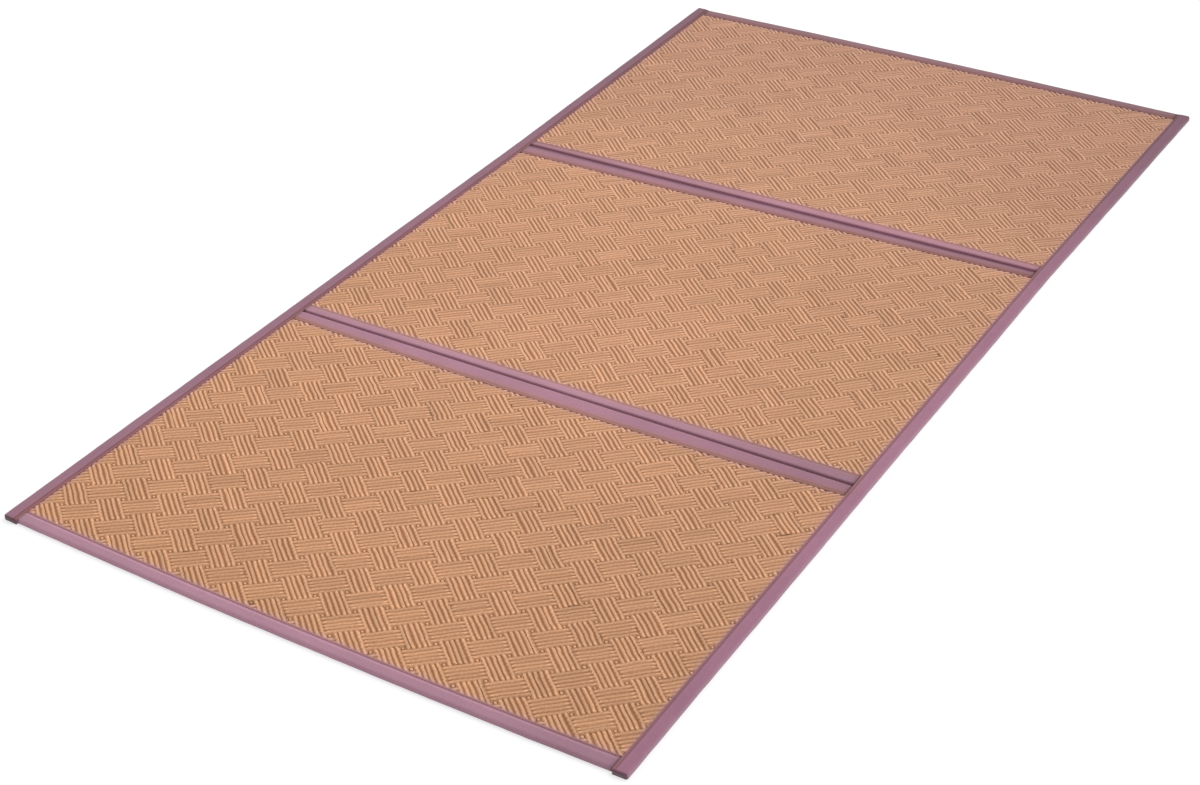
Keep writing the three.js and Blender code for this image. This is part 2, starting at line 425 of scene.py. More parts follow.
def block_ribs(block_p, block_q):
    """The ribs of all blocks: points p, q and height, faces, places on a rib, and the faces' tint and way."""
    count = len(block_p)

    # one block: ribs side by side (columns) by places along them (rows)
    shift = np.arange(RIBS) - (RIBS - 1) / 2
    across = np.append((shift[:, None] + RIB_ACROSS).ravel(), RIBS / 2)
    shape = np.append(np.tile(RIB_SHAPE, RIBS), BLOCK_EDGE)
    shape[0] = BLOCK_EDGE
    rib_of = np.append(np.repeat(np.arange(RIBS), len(RIB_ACROSS)), RIBS - 1)
    columns, rows = len(across), len(RIB_ALONG)

    height = rng.normal(1.0, HEIGHT_SPREAD, (count, RIBS))[:, None, rib_of]
    length = 1 + rng.normal(0.0, LENGTH_SPREAD, (count, RIBS))[:, None, rib_of]
    sway = rng.normal(0.0, SWAY, (count, RIBS))[:, None, rib_of]
    bend = rng.normal(0.0, BEND, (count, RIBS))[:, None, rib_of]
    wiggle = rng.normal(0.0, WIGGLE, (count, rows, RIBS))[:, :, rib_of]
    stray = rng.normal(0.0, WANDER, (count, rows, 1))
    place = RIB_ALONG[None, :, None]
    run = place * length
    bow = 1 - (place / (RIB_LENGTH / 2)) ** 2
    side = across[None, None, :] + stray + (sway + wiggle + bend * bow) * shape
    z = GROOVE_TOP + RIB_RISE * shape * height * RIB_FALL[None, :, None]
    odd = (block_p + block_q) % 2 == 1
    turned = odd[:, None, None]
    p = block_p[:, None, None] + np.where(turned, run, side) / RIB_WIDTHS_A_STEP
    q = block_q[:, None, None] + np.where(turned, side, run) / RIB_WIDTHS_A_STEP
    points = np.stack([p.ravel(), q.ravel(), z.ravel()], axis=1)

    faces = grid_faces(rows, columns)[None] + (np.arange(count) * rows * columns)[:, None, None]
    faces[odd] = faces[odd][:, :, ::-1]
    on_rib = np.broadcast_arrays(across + RIBS / 2, place + RIB_LENGTH / 2, run)[:2]
    places = np.stack(on_rib, axis=-1).reshape(-1, 2)
    tint = rng.normal(0.0, 1.0, (count, RIBS))
    column_rib = np.minimum(np.arange(columns - 1) // len(RIB_ACROSS), RIBS - 1)
    tint = np.broadcast_to(tint[:, None, column_rib], (count, rows - 1, columns - 1)).ravel()
    way = np.repeat(odd.astype(float), (rows - 1) * (columns - 1))
    return points, faces.reshape(-1, 4), places, tint, way


def block_eyes(block_p, block_q):
    """The eyes, each a middle point and rings round it: points, faces, places on a rib and faces' tint."""
    count = len(block_p)
    radius, z, places, shut = (
        np.concatenate([values[:1], np.repeat(values[1:], EYE_SIDES, axis=0)])
        for values in map(np.array, zip(*EYE))
    )
    turn = np.append(0.0, np.tile(np.arange(EYE_SIDES) * 2 * math.pi / EYE_SIDES, len(EYE) - 1))
    shut = shut * np.sin(turn) ** 2
    z = z + (EYE[-1][1] - z) * shut
    places = places + (np.array(EYE[-1][2]) - places) * shut[:, None]
    size = rng.normal(1.0, EYE_SIZE_SPREAD, (count, 1))
    p = block_p[:, None] + EYE_AT + radius * np.cos(turn) * size + rng.normal(0, EYE_SHIFT, (count, 1))
    q = block_q[:, None] + EYE_AT + radius * np.sin(turn) * size + rng.normal(0, EYE_SHIFT, (count, 1))
    points = np.stack([p.ravel(), q.ravel(), np.tile(z, count)], axis=1)
    faces = []
    for k in range(EYE_SIDES):
        after = (k + 1) % EYE_SIDES
        faces.append((0, 1 + after, 1 + k, 1 + k))
        for ring in range(len(EYE) - 2):
            inner, outer = 1 + ring * EYE_SIDES, 1 + (ring + 1) * EYE_SIDES
            faces.append((inner + k, inner + after, outer + after, outer + k))
    tint = np.repeat(rng.normal(0.0, EYE_TINT, count), len(faces))
    faces = np.array(faces)[None] + (np.arange(count) * len(z))[:, None, None]
    return points, faces.reshape(-1, 4), np.tile(places, (count, 1)), tint


def cut_to_bindings(mesh, woven):
    """Cuts off what goes too far under the bindings."""
    cut = bmesh.new()
    cut.from_mesh(mesh)
    edges = [
        ((woven.right + TUCK, 0), (1, 0)),
        ((woven.left - TUCK, 0), (-1, 0)),
        ((0, woven.length + TUCK), (0, 1)),
        ((0, -TUCK), (0, -1)),
    ]
    for at, way in edges:
        everything = cut.verts[:] + cut.edges[:] + cut.faces[:]
        bmesh.ops.bisect_plane(
            cut, geom=everything, plane_co=(at[0] * MM, at[1] * MM, 0), plane_no=(*way, 0), clear_outer=True
        )
    cut.to_mesh(mesh)
    cut.free()


def woven_top(name, woven):
    """All ribs and eyes of a panel as one mesh, cut off under the bindings and pressed down at its edge."""
    block_p, block_q = weave_blocks(name, woven)
    ribs, rib_faces, rib_places, rib_tint, rib_way = block_ribs(block_p, block_q)
    eyes, eye_faces, eye_places, eye_tint = block_eyes(block_p, block_q)
    eye_way = np.full(len(eye_tint), WEAVES[name]["eye_way"])
    spots = np.concatenate([ribs, eyes])
    points = np.column_stack([*weave_place(name, woven, spots[:, 0], spots[:, 1]), spots[:, 2]])
    piece = mesh_piece(name + "_ribs", points, np.concatenate([rib_faces, eye_faces + len(ribs)]))
    mesh = piece.data
    lay_places(mesh, "straw", np.concatenate([rib_places, eye_places]))
    note(mesh, "tint", "FACE", np.concatenate([rib_tint, eye_tint]))
    note(mesh, "way", "FACE", np.concatenate([rib_way, eye_way]))

    cut_to_bindings(mesh, woven)
    spots = np.zeros(len(mesh.vertices) * 3)
    mesh.vertices.foreach_get("co", spots)
    x, t, z = (spots.reshape(-1, 3) / MM).T
    inward = np.clip(woven.edge_distance(x, t) / PRESSED_WIDTH, 0, 1)
    z = z - PRESSED_DROP * (1 - inward * inward * (3 - 2 * inward))
    laid = np.column_stack([*lay_out(*woven.square(x, t)), z])
    mesh.vertices.foreach_set("co", (laid * MM).ravel())
    note(mesh, "edge", "POINT", 1 - inward)
    mesh.update()
    return piece


def panel_ground(name, woven):
    """The closed sheet under the ribs, with its thin edge that goes into the bindings."""
    s = np.linspace(0, 1, GROUND_STEPS_ACROSS + 1)
    t = np.linspace(0, 1, GROUND_STEPS_ALONG + 1)
    ring = [(a, 0.0) for a in s[:-1]] + [(1.0, b) for b in t[:-1]]
    ring += [(a, 1.0) for a in s[:0:-1]] + [(0.0, b) for b in t[:0:-1]]
    ring = np.array(ring)
    main = woven.square(woven.left + ring[:, 0] * (woven.right - woven.left), ring[:, 1] * woven.length)
    inside = EDGE_WALL + CLEARANCE
    half = MAT_WIDTH / 2 - inside
    low, high = woven.low + inside, woven.high - inside
    tongue = (half * (2 * ring[:, 0] - 1), low + ring[:, 1] * (high - low))
    levels = [(0.0, main), (TONGUE_LOW, main), (TONGUE_LOW, tongue), (GROUND_TOP, tongue)]
    points = [np.column_stack([*lay_out(*plan), np.full(len(ring), z)]) for z, plan in levels]
    size = len(ring)
    faces = []
    for layer in range(len(levels) - 1):
        for k in range(size):
            after = (k + 1) % size
            base = layer * size
            faces.append((base + k, base + after, base + size + after, base + size + k))
    faces.append(tuple(range(size - 1, -1, -1)))
    faces.append(tuple(range((len(levels) - 1) * size, len(levels) * size)))
    piece = mesh_piece(name + "_ground", np.concatenate(points), faces, smooth=False)
    piece.data.polygons[len(faces) - 2].material_index = 1
    return piece


def strip_outline(width, height, groove, bulge):
    """Outside of a folded strip end on, from its inner edge under, round the outer edge and over the top."""
    seam = [(inset, SEAM_REST + (drop - SEAM_REST) * groove) for inset, drop in SEAM]
    under = [(width, 0.0), (width * UNDER_MIDDLE, 0.0)]
    for turn in np.linspace(0, math.pi / 2, 4):
        under.append((UNDER_ROUND * (1 - math.sin(turn)), UNDER_ROUND * (1 - math.cos(turn))))
    edge = [(0.0, height * share) for share in SIDE_STEPS]
    for turn in np.linspace(0, math.pi / 2, 7):
        edge.append((TOP_ROUND * (1 - math.cos(turn)), height - TOP_ROUND * (1 - math.sin(turn))))
    first = width - CROWN[0][0]
    for share in np.linspace(0, 1, CROWN_STEPS + 1)[1:-1]:
        edge.append((TOP_ROUND + (first - TOP_ROUND) * share, height - CROWN_FALL * share))
    sewn = [(width - inset, height - drop) for inset, drop in CROWN + seam + LIP]
    outline = np.array(under + edge + sewn)
    rise = np.clip(outline[:, 1] / (height * BULGE_TOP), 0, 1)
    outline[:, 0] -= bulge * np.sin(math.pi * rise) * (outline[:, 0] < TOP_ROUND)
    return outline


def strip_steps(length, closed_ends):
    """Places along a strip where its section stands, close together at ends that close."""
    steps = np.linspace(0, length, int(length / STRIP_STEP) + 1)
    if not closed_ends:
        return steps
    round_in = END_ROUND * (1 - np.cos(np.linspace(0, math.pi / 2, END_STEPS)))
    lead, tail = (np.array([*round_in, shut, shut + SHUT_STEP]) for shut in closed_ends)
    middle = steps[(steps > lead[-1] + 1) & (steps < length - tail[-1] - 1)]
    return np.concatenate([lead, middle, (length - tail)[::-1]])


def strip_painted_falloff(look, start, way, steps, length, closed_ends):
    """Painted light and shade along a strip: how light it is along its length, a little uneven, and painted
    shade at its ends.
    """
    run = start + way * steps[:, None]
    if abs(way[1]) > abs(way[0]):
        painted_falloff = across_mat(*look["painted_falloff"], run[:, 1], END_AT)
    else:
        painted_falloff = across_mat(*look["painted_falloff"], run[:, 0])
    painted_falloff = painted_falloff * (1 + FALLOFF_UNEVEN * drift(steps, FALLOFF_REACH))
    darkness, reach = CLOSED_END if closed_ends else COVERED_END
    return painted_falloff * (1 - darkness * np.clip(1 - np.minimum(steps, length - steps) / reach, 0, 1))


def strip_shade(look, section, on_top, width, height):
    """Colour round a strip's section: painted shade on its side and in its seam, a painted highlight on its
    ridge beside the seam, its warm sewn edge, and the strip's own painted light and shade.
    """
    inset = width - section[:, 0]
    # painted shade on the outer side, spreading over the top's edge as far as shoulder, and round under the
    # edge
    upper = np.clip((section[:, 1] - height * SIDE_TOP) / (height * SIDE_BLEND), 0, 1)
    upper = upper * np.clip((section[:, 0] + 1) / look["shoulder"], 0, 1)
    below = np.clip(section[:, 0] / UNDER_BLEND, 0, 1)
    upper = np.where(section[:, 1] < UNDER_HEIGHT, below, upper)[:, None]
    # painted shade in the seam
    seam = (np.exp(-((inset - SEAM_INSET) / SEAM_SPREAD) ** 2) * on_top)[:, None]
    # painted highlight beside the seam
    ridge = look["ridge"] * np.exp(-((inset - RIDGE_INSET) / RIDGE_SPREAD) ** 2)[:, None]
    reach, green, blue = look["warm"]
    warm = (np.clip(1 - inset / reach, 0, 1) * on_top)[:, None] * np.array([0, green, blue])
    side = np.array(look["side"])
    shade = (side + (1 - side) * upper) * (1 + ridge) * (1 - seam * look["seam"]) * (1 - warm)
    return shade * look["painted_shading"]


def folded_strip(name, start, end, width_at, height, closed_ends=None):
    """A binding along an edge of the square mat, the mat on the left of the way from start to end."""
    start, end = np.array(start, dtype=float), np.array(end, dtype=float)
    length = np.linalg.norm(end - start)
    way = (end - start) / length
    inward = np.array([-way[1], way[0]])
    width = float(width_at(0.0))
    look = STRIPS[name]
    outline = strip_outline(width, height, look["groove"], look["bulge"])
    slot = np.array([(width, SLOT_HIGH), (EDGE_WALL, SLOT_HIGH), (EDGE_WALL, SLOT_LOW), (width, SLOT_LOW)])
    section = np.concatenate([outline, slot])
    size = len(section)
    outside = np.arange(size) < len(outline)
    steps = strip_steps(length, closed_ends)
    u = np.repeat(section[None, :, 0], len(steps), axis=0)
    z = np.repeat(section[None, :, 1], len(steps), axis=0)

    # the cloth is fuller in some places than others, and slack beside its seam
    top = np.clip((section[:, 1] - height * FULL_FROM) / (height * FULL_BLEND), 0, 1) * outside
    top = top * (1 - np.clip(1 - (width - section[:, 0]) / LIP_REACH, 0, 1))
    z += wander(steps, FULLNESS) * top
    slack = np.exp(-(((width - section[:, 0]) - SLACK_INSET) / SLACK_SPREAD) ** 2)
    z -= (SLACK_DEPTH + SLACK_UNEVEN * drift(steps, SLACK_REACH)[:, None]) * slack * top
    outer = np.clip(1 - section[:, 0] / EDGE_REACH, 0, 1)
    loose = HELD_AT_FOLD if look["bulge"] > 1 else 1.0
    u += wander(steps, EDGE_WANDER) * outer * loose
    if closed_ends:
        near = np.clip(np.minimum(steps, length - steps) / END_ROUND, 0, 1)
        inset = END_ROUND * (1 - np.sqrt(np.clip(1 - (1 - near) ** 2, 0, 1)))[:, None]
        u = inset + (width - END_NARROW * inset) * u / width
        z = z * (height - inset * END_LOW) / height
        before, behind = (shut + SHUT_STEP / 2 for shut in closed_ends)
        shut = (steps < before) | (length - steps < behind)
        slot_floor = np.arange(len(outline) + 1, len(outline) + 3)
        u[np.ix_(shut, slot_floor)] = width - SLOT_SHUT * inset[shut]
    wider = (width_at(start[0] + way[0] * steps) - width)[:, None]
    u = u + wider * np.clip((section[:, 0] - TOP_ROUND) / (width - CROWN[0][0] - TOP_ROUND), 0, 1)
    along = np.repeat(steps[:, None], size, axis=1)
    x = start[0] + way[0] * along + inward[0] * u
    y = start[1] + way[1] * along + inward[1] * u
    points = np.stack([*lay_out(x, y), z], axis=-1).reshape(-1, 3)

    faces = []
    for row in range(len(steps) - 1):
        for k in range(size):
            after = (k + 1) % size
            faces.append((row * size + k, (row + 1) * size + k, (row + 1) * size + after, row * size + after))
    faces.append(tuple(range(size)))
    faces.append(tuple(range(len(points) - 1, len(points) - 1 - size, -1)))
    piece = mesh_piece(name + "_cloth", points, faces)
    girth = np.concatenate([[0], np.cumsum(np.linalg.norm(np.diff(section, axis=0), axis=1))])
    places = np.stack(np.broadcast_arrays(along, girth[None, :]), axis=-1).reshape(-1, 2)
    lay_places(piece.data, "cloth", places * MM)
    # painted light and shade along and round the strip, kept on its points for the cloth's colour
    painted_falloff = strip_painted_falloff(look, start, way, steps, length, closed_ends)
    shade = strip_shade(look, section, outside & (section[:, 1] > height / 2), width, height)
    painted_shading = np.ones((len(steps), size, 4))
    painted_shading[..., :3] = painted_falloff[:, None, None] * shade
    piece.data.attributes.new("painted_shading", "FLOAT_COLOR", "POINT").data.foreach_set("color", painted_shading.ravel())
    place = {
        "start": start,
        "way": way,
        "inward": inward,
        "length": length,
        "width_at": width_at,
        "height": height,
    }
    return piece, place


def stitches(name, place):
    """A row of thread stitches that lie in the seam of a binding."""
    seam_length = place["length"] - 2 * STITCH_MARGIN
    count = int(seam_length / STITCH_PITCH)
    at = STITCH_MARGIN + (np.arange(count) + 0.5) * seam_length / count
    at = at + rng.normal(0, STITCH_STRAY, count)
    turn = np.arange(STITCH_SIDES) * 2 * math.pi / STITCH_SIDES
    length = STITCH_LENGTH * rng.normal(1, STITCH_SPREAD, count)[:, None, None]
    slant = rng.normal(STITCH_SLANT, STITCH_SPREAD, count)[:, None, None]
    rings = STITCH_ALONG[None, :, None]
    along = np.repeat(at[:, None, None] + rings * length, STITCH_SIDES, axis=2)
    thick = STITCH_THICK / 2 * STITCH_GIRTH[None, :, None]
    width = place["width_at"](place["start"][0] + place["way"][0] * along)
    u = width - SEAM_INSET + slant * rings * 2 + thick * np.cos(turn)
    z = place["height"] - STITCH_DEPTH + STITCH_RISE[None, :, None] * STITCH_BOW + thick * np.sin(turn)
    z = np.broadcast_to(z, along.shape)
    x = place["start"][0] + place["way"][0] * along + place["inward"][0] * u
    y = place["start"][1] + place["way"][1] * along + place["inward"][1] * u
    points = np.stack([*lay_out(x, y), z], axis=-1).reshape(-1, 3)
    faces = []
    size = len(STITCH_ALONG) * STITCH_SIDES
    for stitch in range(count):
        base = stitch * size
        for ring in range(len(STITCH_ALONG) - 1):
            for k in range(STITCH_SIDES):
                after = (k + 1) % STITCH_SIDES
                low, high = base + ring * STITCH_SIDES, base + (ring + 1) * STITCH_SIDES
                faces.append((low + k, low + after, high + after, high + k))
        faces.append(tuple(base + k for k in range(STITCH_SIDES - 1, -1, -1)))
        faces.append(tuple(base + size - STITCH_SIDES + k for k in range(STITCH_SIDES)))
    return mesh_piece(name + "_stitches", points, faces)


# Looks

def linear(r, g, b):
    """A colour as seen on a screen, as light."""
    return tuple(c / 12.92 if c <= 0.04045 else ((c + 0.055) / 1.055) ** 2.4 for c in (r, g, b)) + (1.0,)


class Nodes:
    """Places and links the nodes of one tree."""

    def __init__(self, tree):
        self.tree = tree

    def add(self, kind, **settings):
        node = self.tree.nodes.new(kind)
        for key, value in settings.items():
            setattr(node, key, value)
        return node

    def set(self, socket, value):
        if isinstance(value, bpy.types.NodeSocket):
            self.tree.links.new(value, socket)
        else:
            socket.default_value = value

    def math(self, operation, *values):
        node = self.add("ShaderNodeMath", operation=operation)
        for socket, value in zip(node.inputs, values):
            self.set(socket, value)
        return node.outputs[0]

    def mix(self, factor, first, second, blend="MIX"):
        node = self.add("ShaderNodeMix", data_type="RGBA", blend_type=blend)
        self.set(node.inputs["Factor"], factor)
        self.set(node.inputs[6], first)
        self.set(node.inputs[7], second)
        return node.outputs[2]

    def span(self, value, low, high, to_low, to_high, kind="SMOOTHSTEP"):
        node = self.add("ShaderNodeMapRange", interpolation_type=kind)
        for socket, number in zip(node.inputs, (value, low, high, to_low, to_high)):
            self.set(socket, number)
        return node.outputs[0]

    def noise(self, place, scale, detail=2.0, roughness=0.5):
        node = self.add("ShaderNodeTexNoise")
        self.set(node.inputs["Vector"], place)
        node.inputs["Scale"].default_value = scale
        node.inputs["Detail"].default_value = detail
        node.inputs["Roughness"].default_value = roughness
        return node.outputs["Fac"]

    def stretch(self, place, x, y, z, shift=(0, 0, 0)):
        node = self.add("ShaderNodeVectorMath", operation="MULTIPLY_ADD")
        self.set(node.inputs[0], place)
        node.inputs[1].default_value = (x, y, z)
        node.inputs[2].default_value = shift
        return node.outputs[0]

    def brighten(self, colour, factor):
        node = self.add("ShaderNodeVectorMath", operation="SCALE")
        self.set(node.inputs[0], colour)
        self.set(node.inputs["Scale"], factor)
        return node.outputs[0]


def group(name, inputs, outputs):
    """An empty shader node group with named inputs and outputs."""
    tree = bpy.data.node_groups.new(name, "ShaderNodeTree")
    for label, kind, value in inputs:
        socket = tree.interface.new_socket(label, in_out="INPUT", socket_type=kind)
        if value is not None:
            socket.default_value = value
    for label, kind in outputs:
        tree.interface.new_socket(label, in_out="OUTPUT", socket_type=kind)
    nodes = Nodes(tree)
    return nodes, nodes.add("NodeGroupInput").outputs, nodes.add("NodeGroupOutput").inputs


VECTOR = "NodeSocketVector"
FLOAT = "NodeSocketFloat"
COLOUR = "NodeSocketColor"
RELIEF = 0.0004


def make_straw_strand():
    """Colour and relief of one straw rib: light crest and dark groove, partly the straw's own colour and
    partly painted shade, painted shade in pits and notches, painted highlights near rib ends, fibres along
    it.
    """
    n, given, out = group(
        "straw_strand",
        [("Place", VECTOR, None), ("Crest Colour", COLOUR, (1, 1, 1, 1)),
         ("Groove Colour", COLOUR, (0, 0, 0, 1)), ("Tint", FLOAT, 0.0), ("Contrast", FLOAT, 1.0)],
        [("Colour", COLOUR), ("Roughness", FLOAT), ("Height", FLOAT)],
    )
    split = n.add("ShaderNodeSeparateXYZ")
    n.set(split.inputs[0], given["Place"])
    end = n.math("ABSOLUTE", n.math("SUBTRACT", split.outputs[1], RIB_LENGTH / 2))
    turns = n.math("COSINE", n.math("MULTIPLY", split.outputs[1], 2 * math.pi))
    aside = n.math("SUBTRACT", split.outputs[0], RIBS / 2)
    edge = n.math("ABSOLUTE", aside)
    # the outer rib of a block winds round the rib ends that meet it
    wind = n.math("MULTIPLY", n.span(edge, 1.5, 1.9, 0.0, SCALLOP), n.span(end, 2.0, 2.5, 1.0, 0.0))
    wind = n.math("MULTIPLY", n.math("MULTIPLY", wind, turns), n.math("SIGN", aside))
    wound = n.math("ADD", split.outputs[0], wind)
    across = n.math("ABSOLUTE", n.math("SUBTRACT", n.math("FRACT", wound), 0.5))
    crest = n.span(across, 0.12, 0.44, 1.0, 0.0)
    crest = n.math("MAXIMUM", crest, n.span(edge, 2.2, 2.4, 0.0, BLOCK_EDGE))
    # painted shade where the crest dips at a rib's very end
    crest = n.math("MULTIPLY", crest, n.span(end, 3.4, 3.62, 1.0, 0.75))
    # painted shade: for ribs that lie along the light, crest and groove are pulled closer together
    lost = n.math("MULTIPLY", n.math("SUBTRACT", 1.0, given["Contrast"]), n.span(end, 2.3, 3.1, 1.0, 0.35))
    crest = n.math("MULTIPLY_ADD", n.math("SUBTRACT", crest, 0.62), n.math("SUBTRACT", 1.0, lost), 0.62)
    # painted shade in the notches where rib ends meet an outer rib
    painted_notch_shade = n.math("MULTIPLY", n.span(turns, -0.2, 1.0, 0.0, 1.0), n.span(edge, 2.05, 2.4, 0.0, 1.0))
    painted_notch_shade = n.math("MULTIPLY", painted_notch_shade, n.span(end, 2.7, 3.1, 1.0, 0.0))
    # painted shade in the pits where a rib goes under the next block
    painted_pit_shade = n.math("MULTIPLY", n.math("SUBTRACT", 1.0, crest), n.span(end, 2.7, 3.3, 0.0, 1.0))
    # painted highlight on the rise just before a rib's end
    painted_end_highlight = n.math("MULTIPLY", n.span(end, 2.5, 3.0, 0.0, 1.0), n.span(end, 3.1, 3.4, 1.0, 0.0))
    painted_end_highlight = n.math("MULTIPLY", painted_end_highlight, crest)
    fibre = n.noise(n.stretch(given["Place"], 9.0, 0.55, 1.0), 2.2, 3.0, 0.6)
    slub = n.noise(given["Place"], 1.9, 2.0)
    twist = n.math("SINE", n.math("MULTIPLY", n.math("ADD", split.outputs[1], split.outputs[0]), 12.6))
    colour = n.mix(crest, given["Groove Colour"], given["Crest Colour"])
    tone = n.math("MULTIPLY_ADD", given["Tint"], 0.045, 1.0)
    tone = n.math("MULTIPLY", tone, n.span(fibre, 0.3, 0.7, 0.9, 1.08, "LINEAR"))
    tone = n.math("MULTIPLY", tone, n.span(slub, 0.3, 0.7, 0.89, 1.11, "LINEAR"))
    tone = n.math("MULTIPLY", tone, n.math("MULTIPLY_ADD", painted_pit_shade, -0.12, 1.0))
    tone = n.math("MULTIPLY", tone, n.math("MULTIPLY_ADD", painted_notch_shade, -0.16, 1.0))
    tone = n.math("MULTIPLY", tone, n.math("MULTIPLY_ADD", painted_end_highlight, 0.13, 1.0))
    n.set(out["Colour"], n.brighten(colour, tone))
    n.set(out["Roughness"], n.span(n.math("MULTIPLY", fibre, crest), 0.0, 0.7, 0.78, 0.55, "LINEAR"))
    height = n.math("ADD", n.math("MULTIPLY", fibre, 0.6), n.math("MULTIPLY", twist, 0.12))
    n.set(out["Height"], height)
    return n.tree


def make_cloth_weave():
    """A plain weave of fine threads, its colour a little uneven from thread to thread."""
    n, given, out = group(
        "cloth_weave",
        [("Place", VECTOR, None), ("Colour", COLOUR, (1, 1, 1, 1)), ("Threads", FLOAT, 1800.0)],
        [("Colour", COLOUR), ("Roughness", FLOAT), ("Height", FLOAT)],
    )
    size = n.add("ShaderNodeVectorMath", operation="SCALE")
    n.set(size.inputs[0], given["Place"])
    n.set(size.inputs["Scale"], given["Threads"])
    split = n.add("ShaderNodeSeparateXYZ")
    n.set(split.inputs[0], size.outputs[0])
    over = n.math("SINE", n.math("MULTIPLY", split.outputs[0], math.pi))
    under = n.math("SINE", n.math("MULTIPLY", split.outputs[1], math.pi))
    weave = n.math("MULTIPLY", over, under)
    warp = n.noise(n.stretch(given["Place"], 60.0, 1500.0, 1.0), 1.0, 2.0)
    weft = n.noise(n.stretch(given["Place"], 1500.0, 60.0, 1.0), 1.0, 2.0)
    threads = n.math("ADD", n.math("MULTIPLY", warp, 0.5), n.math("MULTIPLY", weft, 0.5))
    tone = n.span(threads, 0.3, 0.7, 0.88, 1.12, "LINEAR")
    tone = n.math("MULTIPLY", tone, n.span(weave, -1.0, 1.0, 0.94, 1.06, "LINEAR"))
    n.set(out["Colour"], n.brighten(given["Colour"], tone))
    n.set(out["Roughness"], n.span(threads, 0.3, 0.7, 0.92, 0.8, "LINEAR"))
    n.set(out["Height"], n.math("ADD", n.math("MULTIPLY", weave, 0.25), threads))
    return n.tree


def make_slow_tone():
    """Broad uneven tone, as sun and use leave it."""
    n, given, out = group(
        "slow_tone",
        [("Place", VECTOR, None), ("Colour", COLOUR, (1, 1, 1, 1)), ("Amount", FLOAT, 0.05)],
        [("Colour", COLOUR)],
    )
    broad = n.noise(given["Place"], 2.6, 1.0)
    patch = n.noise(given["Place"], 14.0, 2.0)
    both = n.math("ADD", n.math("MULTIPLY", broad, 0.65), n.math("MULTIPLY", patch, 0.35))
    reach = n.math("MULTIPLY", given["Amount"], 4.0)
    tone = n.math("MULTIPLY_ADD", n.math("SUBTRACT", both, 0.5), reach, 1.0)
    n.set(out["Colour"], n.brighten(given["Colour"], tone))
    return n.tree


STRAW_STRAND = make_straw_strand()
CLOTH_WEAVE = make_cloth_weave()
SLOW_TONE = make_slow_tone()


def material(name):
    """A material with its shader, ready for nodes."""
    made = bpy.data.materials.new(name)
    made.use_nodes = True
    return made, Nodes(made.node_tree), made.node_tree.nodes["Principled BSDF"]


def place_group(nodes, tree, **values):
    node = nodes.add("ShaderNodeGroup")
    node.node_tree = tree
    for label, value in values.items():
        nodes.set(node.inputs[label.replace("_", " ")], value)
    return node.outputs


def bumped(nodes, shader, height, strength, distance):
    bump = nodes.add("ShaderNodeBump")
    bump.inputs["Strength"].default_value = strength
    bump.inputs["Distance"].default_value = distance
    nodes.set(bump.inputs["Height"], height)
    nodes.set(shader.inputs["Normal"], bump.outputs[0])


def straw(name, crest, groove, uv_name=None, repeat=None, shift=(0, 0, 0)):
    """Straw, with its crest and groove colours at the near and the far end of the mat."""
    made, n, shader = material(name)
    spot = n.add("ShaderNodeTexCoord").outputs["Object"]
    split = n.add("ShaderNodeSeparateXYZ")
    n.set(split.inputs[0], spot)
    far = n.span(split.outputs[1], -END_AT * MM, END_AT * MM, 0.0, 1.0, "LINEAR")
    crest = n.mix(far, *crest)
    groove = n.mix(far, *groove)
    if uv_name:
        place = n.add("ShaderNodeUVMap", uv_map=uv_name).outputs[0]
        tint = n.add("ShaderNodeAttribute", attribute_name="tint").outputs["Fac"]
        edge = n.add("ShaderNodeAttribute", attribute_name="edge").outputs["Fac"]
        edge = n.math("MULTIPLY", n.math("POWER", edge, 1.6), 0.7)
        crest = n.mix(edge, crest, linear(0.82, 0.64, 0.62))
        groove = n.mix(edge, groove, linear(0.68, 0.5, 0.46))
        # painted shade: the ribs of the second way lie along the light, so their crest and groove are painted
        # fainter
        way = n.add("ShaderNodeAttribute", attribute_name="way").outputs["Fac"]
        contrast = n.math("MULTIPLY_ADD", way, -0.55, 1.0)
    else:
        place = n.stretch(spot, *repeat, shift)
        tint, contrast = 0.0, 1.0
    strand = place_group(n, STRAW_STRAND, Place=place, Crest_Colour=crest, Groove_Colour=groove, Tint=tint,
                         Contrast=contrast)
    # painted shade: darker to the right, and towards both ends
    side = n.math("MULTIPLY", split.outputs[0], 2 / (MAT_WIDTH * MM))
    painted_gradient = n.math("MULTIPLY_ADD", n.math("MULTIPLY_ADD", side, -0.065, -0.05), side, 1.0)
    off = n.math("DIVIDE", n.math("ADD", split.outputs[1], 0.1), 0.9)
    painted_gradient = n.math("MULTIPLY", painted_gradient, n.math("MULTIPLY_ADD", n.math("MULTIPLY", off, off), -0.1, 1.045))
    toned = place_group(n, SLOW_TONE, Place=spot, Colour=n.brighten(strand["Colour"], painted_gradient), Amount=0.05)
    n.set(shader.inputs["Base Color"], toned["Colour"])
    n.set(shader.inputs["Roughness"], strand["Roughness"])
    shader.inputs["Specular IOR Level"].default_value = 0.3
    bumped(n, shader, strand["Height"], 0.5, RELIEF)
    return made


